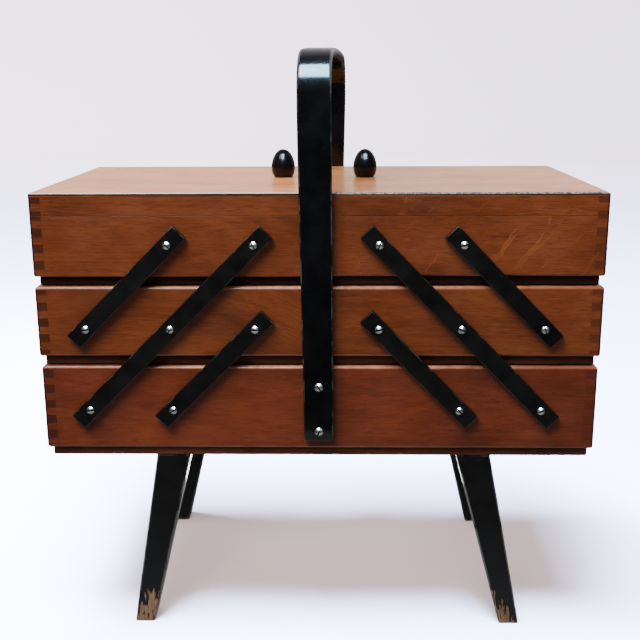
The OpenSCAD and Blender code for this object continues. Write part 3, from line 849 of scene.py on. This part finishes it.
def make_boxes():
    base = [f"base_wall_{name}" for name in ("front", "back", "left", "right")]
    for i, node in enumerate(base):
        dark = END_DARK["right" if "right" in node else "left"]
        make_wall(node, base, "base", "X" if i < 2 else "Y", BASE_TONE, 11 + i, dark)
    for side in SIDES:
        shift = 30 if side == "left" else 50
        for level, top in (("mid", TOP_ROUND), ("top", THIN_ARRIS)):
            nodes = [f"{side}_{level}_wall_front", f"{side}_{level}_wall_back",
                     f"{side}_{level}_end_walls"]
            for i, node in enumerate(nodes):
                make_wall(node, nodes, level, "X" if i < 2 else "Y", TRAY_TONE,
                          shift + i + (10 if level == "top" else 0), END_DARK[side], top)


PANEL_EDGE = 1.4 * MM


def make_panels():
    nodes = ["base_panel"]
    nodes += [f"{side}_{level}_panel" for side in SIDES for level in ("mid", "top")]
    for i, node in enumerate(nodes):
        obj = eased(node, f"{node}_board", lambda edge: PANEL_EDGE, PANEL_EDGE, 3)
        # Painted shade: each level's panel is darkened or lightened by PLY_SHADE.
        tone = shaded(PLY_TONE, PLY_SHADE[node.split("_")[-2]])
        finished(obj, node, [wood(f"{node}_ply", "X", tone, 80 + i, end_dark=0.7, coat=0.0,
                                  rough=0.6, specular=0.25)])


LID_ARRIS = {"left": 1.2 * MM, "right": 2.1 * MM}   # rounding of the top's edges
# How chipped each lid's arris is: the less chipped, the whiter its painted highlight.
LID_CHIPPED = {"left": 0.25, "right": 1.0}
LID_SHADE = {"left": (1.30, 1.14, 1.04), "right": (1.04, 0.98, 0.92)}   # against LID_TONE
LID_FLECKS = {"left": 0.0, "right": 0.35}
# The near black band on the lid's sides reaches this far below its top.
DARK_BAND_DEPTH = 1.9 * MM         # the lid's top down to its dark line


def make_lids():
    """Both lids. The long and the short rails are one node and two pieces, so that the
    grain runs along each."""
    for side in SIDES:
        seed = 90 if side == "left" else 95
        rails = f"{side}_lid_rails"
        top = f"{side}_lid_panel"
        low, high = shared_box([rails, top])
        arris = LID_ARRIS[side]

        def top_edge(edge, high=high, arris=arris):
            if abs(edge.verts[0].co.z - edge.verts[1].co.z) > UPRIGHT:
                return CORNER_ROUND
            return arris if abs(middle(edge).z - high.z) < NEAR else 0

        joint = (low, high, FINGER_START["top"])
        for axis, i in (("X", 0), ("Y", 1)):
            obj = eased(rails, f"{rails}_along_{axis}", box_edges(low, high, 0, THIN_ARRIS),
                        CORNER_ROUND, 3, keep=lambda size, i=i: size[i] > size[1 - i])
            finished(obj, rails, wall_materials(f"{rails}_{axis}", axis, TRAY_TONE, seed, joint,
                                                END_DARK[side], flecks=LID_FLECKS[side]))
        obj = eased(top, f"{top}_board", top_edge, max(arris, CORNER_ROUND), 4, 1)
        tone = shaded(LID_TONE, *LID_SHADE[side])
        finished(obj, top, [wood(f"{top}_veneer", "X", tone, seed + 1, coat=0.35, rough=0.34,
                                 sides=TRAY_TONE, end_dark=1.0, rim=high.z - DARK_BAND_DEPTH),
                            lid_edge(f"{top}_edge", "X", BARE_TONE, seed + 2,
                                     LID_CHIPPED[side])])


# ---- The black pieces ----

ARM_W = 14 * MM
ARM_CORNER = 0.8 * MM       # rounding of an arm's outline
ARM_EDGE = 0.6 * MM         # rounding of the rims of its faces


def arm_outline(node, side):
    """The rounded rectangle of an arm, found from its box and its width."""
    low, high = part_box(node)
    w, h = high.x - low.x - 2 * ARM_CORNER, high.z - low.z - 2 * ARM_CORNER
    across = ARM_W - 2 * ARM_CORNER
    angle = math.radians(45)
    for _ in range(6):
        along = (w + h) / (math.cos(angle) + math.sin(angle)) - across
        angle = math.radians(45) - math.asin((w - h) / ((along - across) * math.sqrt(2)))
    if side == "right":
        angle = math.pi - angle
    centre_x, centre_z = (low.x + high.x) / 2, (low.z + high.z) / 2
    outline = []
    for su, sv, start in ((1, 1, 0), (-1, 1, 90), (-1, -1, 180), (1, -1, 270)):
        for i in range(5):
            turn = math.radians(start + 22.5 * i)
            out = (math.cos(turn + angle), math.sin(turn + angle))
            u, v = su * along / 2, sv * across / 2
            outline.append((centre_x + u * math.cos(angle) - v * math.sin(angle)
                            + ARM_CORNER * out[0],
                            centre_z + u * math.sin(angle) + v * math.cos(angle)
                            + ARM_CORNER * out[1], *out))
    return outline


def make_arms():
    count = 0
    for side in SIDES:
        for kind in ("long", "lower", "upper"):
            for face in FACES:
                node = f"{side}_{kind}_arm_{face}"
                low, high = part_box(node)
                obj = mesh_object(f"{node}_bar", slab(arm_outline(node, side), low.y, high.y,
                                                      ARM_EDGE))
                finished(obj, node, [
                    lacquer(f"{node}_lacquer", 120 + count, rough=0.36, coat=0.1),
                    lacquer(f"{node}_worn_edge", 150 + count, rough=0.32, coat=0.4, wear=0.62,
                            rubbed=(0.055, 0.046, 0.042))])
                count += 1


LEG_EDGE = 1.3 * MM
BRACE_EDGE = 1 * MM
FOOT_W = 17 * MM            # width of a leg on the floor

# Heights to which each leg's foot is scuffed, at its outer and inner edge.
SCUFFS = {"front_left": (12 * MM, 38 * MM), "front_right": (5 * MM, 28 * MM),
          "back_left": (3 * MM, 5 * MM), "back_right": (4 * MM, 4 * MM)}


def make_legs():
    """Makes the legs and their braces. Returns the two front legs."""
    count = 0
    fronts = []
    for face in FACES:
        for side in SIDES:
            node = f"leg_{face}_{side}"
            low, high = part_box(node)
            edges = (low.x, low.x + FOOT_W) if side == "left" else (high.x, high.x - FOOT_W)
            foot = (*edges, *SCUFFS[f"{face}_{side}"])
            obj = eased(node, f"{node}_board", lambda edge: LEG_EDGE, LEG_EDGE, 4, edge_slot=1)
            if face == "front":
                fronts.append(obj)
            finished(obj, node, [
                lacquer(f"{node}_lacquer", 170 + count, rough=0.36, coat=0.2, foot=foot),
                lacquer(f"{node}_worn_edge", 180 + count, rough=0.36, coat=0.3, foot=foot,
                        wear=0.95, rubbed=(0.15, 0.13, 0.125))])
            count += 1
    obj = eased("leg_braces", "leg_brace_pair", lambda edge: BRACE_EDGE, BRACE_EDGE, 3)
    finished(obj, "leg_braces", [lacquer("leg_brace_lacquer", 190, rough=0.5)])
    return fronts


# ---- The metal pieces ----

# Clean and tarnished.
NICKEL = ((0.62, 0.60, 0.56), (0.30, 0.28, 0.25))
BRASS = ((0.60, 0.42, 0.15), (0.30, 0.19, 0.07))


def make_metal():
    """Makes the screws and dresses the hinges. Returns the round-headed screws."""
    steel = metal("screw_nickel", *NICKEL, 0.2, 3.1)
    brass = metal("hinge_brass", *BRASS, 0.30, 5.7)
    # The screws' slots are painted near black, as shade in their recess.
    darkening = lacquer("slot_painted_shade", 220, rough=0.6, specular=0.1)
    heads = []
    round_nodes = ["base_pivot_screws"]
    for side in SIDES:
        round_nodes += [f"{side}_mid_pivot_screws", f"{side}_top_screws"]
    for i, node in enumerate(round_nodes):
        materials = [steel, darkening, brass] if "top" in node else [steel, darkening]
        heads.append(finished(face_screws(node, 200 + i, **PIVOT_SCREW), node, materials))
    heads.append(finished(face_screws("handle_screws", 210, **HANDLE_SCREW), "handle_screws",
                          [steel, darkening]))
    for side in SIDES:
        for name in ("lid_hinge_screws", "hinge_tray_leaves", "hinge_lid_leaves", "hinge_pins"):
            carried(f"{side}_{name}", brass)
    carried("leg_screws", steel)
    return heads


def carried(node, material):
    """Gives a CAD node that stays its material."""
    obj = frame["nodes"][node]
    obj.data.materials.clear()
    obj.data.materials.append(material)


# ---- Stage, light and camera ----

def make_stage():
    """A round pale floor that curves up into a backdrop on every side. It glows far from the
    box, more to the left, and close by on the left."""
    flat, radius, height, turns = 5.0, 1.5, 6.0, 64
    outline = [(0.5 * i, 0.0) for i in range(1, 11)]
    outline += [(flat + radius * math.sin(a), radius - radius * math.cos(a))
                for a in (math.radians(90) * i / 12 for i in range(1, 13))]
    outline.append((flat + radius, height))
    bm = bmesh.new()
    centre = bm.verts.new((0, 0, 0))
    rings = [[bm.verts.new((r * math.cos(2 * math.pi * i / turns),
                            r * math.sin(2 * math.pi * i / turns), z)) for i in range(turns)]
             for r, z in outline]
    for i in range(turns):
        bm.faces.new((centre, rings[0][i], rings[0][(i + 1) % turns]))
        for a, b in zip(rings, rings[1:]):
            bm.faces.new((a[i], b[i], b[(i + 1) % turns], a[(i + 1) % turns])).smooth = True
    floor = mesh_object("paper_floor", bm)
    s = Shader("paper")
    tone = s.ramp(s.noise(s.place, 3, 3), ((0.3, (0.80, 0.785, 0.80)),
                                           (0.7, (0.83, 0.815, 0.83))))
    away = s.node("ShaderNodeVectorMath", operation="LENGTH")
    s.put(away.inputs[0], s.place)
    far = s.step(away.outputs["Value"], 1.0, 4.6, 0.0, 3.0)
    x = s.split(s.place, 0)
    far = s.sum("MULTIPLY", far, s.step(x, -2.6, 2.6, 1.04, 0.66))
    near = s.sum("MULTIPLY", s.step(x, -0.12, -0.55, 0.0, 4.2),
                 s.step(away.outputs["Value"], 1.6, 0.6))
    glow = s.vector("MULTIPLY_ADD", far, (1.0, 0.84, 0.885),
                    s.vector("MULTIPLY", near, (1.0, 1.1, 0.75)))
    s.set(base_color=tone, roughness=0.8, emission_color=glow, emission_strength=1.0)
    floor.data.materials.append(s.material)
    floor.visible_diffuse = False
    floor.visible_glossy = False
    return floor


def area_light(name, place, target, size, power, colour):
    data = bpy.data.lights.new(name, "AREA")
    data.shape = "RECTANGLE"
    data.size, data.size_y = size
    data.energy = power
    data.color = colour
    obj = bpy.data.objects.new(name, data)
    bpy.context.scene.collection.objects.link(obj)
    obj.location = place
    direction = Vector(target) - Vector(place)
    obj.rotation_euler = direction.to_track_quat("-Z", "Y").to_euler()
    return obj


# Place and power of the lights that brighten only the paper, low down on three sides.
PAPER_FILLS = ((-0.2, -1.7, 0.7, 50), (1.9, -0.2, 0.7, 40), (-1.9, 0.2, 0.7, 34))


def make_lights(floor):
    """A window in front and above and a soft overhead panel, which miss the paper, and a panel
    and three fills that light only the paper, so that it is near white while the wood keeps
    its depth."""
    paper = bpy.data.collections.new("paper_only")
    paper.objects.link(floor)
    others = bpy.data.collections.new("all_but_paper")
    others.objects.link(floor)
    others.collection_objects[0].light_linking.link_state = "EXCLUDE"
    window = area_light("window", (-0.55, -0.85, 1.62), (0, -0.1, 0.35), (1.0, 0.75), 34,
                        (0.88, 0.95, 1.0))
    overhead = area_light("overhead", (-0.1, 0.15, 2.4), (0, 0, 0.3), (3.0, 2.4), 95,
                          (1.0, 0.97, 0.93))
    for light in (window, overhead):
        light.light_linking.receiver_collection = others
    overhead.visible_glossy = False
    top = area_light("paper_top", (-0.4, -0.3, 2.6), (0, 0, 0), (1.7, 0.75), 1560,
                     (0.49, 0.59, 1.0))
    fills = [area_light(f"paper_fill_{i}", (x, y, z), (0, 0.1, 0), (1.6, 0.8), power,
                        (1.0, 0.74, 0.70))
             for i, (x, y, z, power) in enumerate(PAPER_FILLS)]
    for light in (top, *fills):
        light.light_linking.receiver_collection = paper


def make_sky():
    """Dim light from all round, brighter from above and behind, and from far below."""
    world = bpy.data.worlds.new("studio")
    world.use_nodes = True
    sky = Nodes(world.node_tree)
    direction = sky.node("ShaderNodeTexCoord").outputs["Generated"]
    upward = sky.step(sky.split(direction, 2), -0.03, 0.15)
    downward = sky.step(sky.split(direction, 2), -0.40, -0.62, 0.0, 0.45)
    backward = sky.step(sky.split(direction, 1), 0.1, 0.7)
    above = sky.sum("ADD", sky.sum("MULTIPLY", backward, 0.75), 0.13)
    level = sky.sum("ADD", sky.sum("MULTIPLY", upward, above), 0.06)
    background = world.node_tree.nodes["Background"]
    sky.put(background.inputs["Strength"], sky.sum("ADD", level, downward))
    sky.put(background.inputs["Color"], (0.97, 0.97, 1.0))
    bpy.context.scene.world = world


def make_shine(name, pieces, *light):
    """A light that only shows as a reflection, and only in the given pieces."""
    shiny = bpy.data.collections.new(name)
    for piece in pieces:
        shiny.objects.link(piece)
    shine = area_light(name, *light)
    shine.visible_diffuse = False
    shine.visible_camera = False
    shine.light_linking.receiver_collection = shiny


# The photo's camera, as fitted to it: degrees, metres, and millimetres of lens.
CAMERA_PITCH, CAMERA_YAW, CAMERA_ROLL = 14.08, -1.24, -0.28
CAMERA_PLACE = (0.0173, -0.842, 0.4487)
CAMERA_LENS = 54.5


def make_camera():
    """Stands where the photo was taken from."""
    pitch, yaw, roll = (math.radians(a) for a in (CAMERA_PITCH, CAMERA_YAW, CAMERA_ROLL))
    forward = Vector((math.sin(yaw) * math.cos(pitch), math.cos(yaw) * math.cos(pitch),
                      -math.sin(pitch)))
    level = Vector((math.cos(yaw), -math.sin(yaw), 0))
    up = level.cross(forward)
    right = level * math.cos(roll) + up * math.sin(roll)
    up = up * math.cos(roll) - level * math.sin(roll)
    data = bpy.data.cameras.new("camera")
    data.sensor_width = 36
    data.lens = CAMERA_LENS
    data.clip_start = 0.01
    camera = bpy.data.objects.new("camera", data)
    bpy.context.scene.collection.objects.link(camera)
    rows = [(*axes, at) for axes, at in zip(zip(right, up, -forward), CAMERA_PLACE)]
    camera.matrix_world = Matrix((*rows, (0, 0, 0, 1)))
    bpy.context.scene.camera = camera


make_camera()
make_lights(make_stage())
make_sky()
make_boxes()
make_panels()
make_lids()
make_arms()

# Each light's place, target, size, power and colour. The first stands for the bright floor,
# and the second for the window, as the polished pieces show it.
make_shine("paper_shine", make_legs(), (0.0, 0.17, 0.045), (0.0, -0.5, 0.045), (0.5, 0.085), 2.4,
           (1.0, 0.97, 0.96))
make_shine("window_shine", [handle(), knob("left"), knob("right"), *make_metal()],
           (0.1, -0.85, 1.54), (0.1, -0.12, 0.46), (0.85, 0.9), 230, (0.40, 0.72, 1.0))
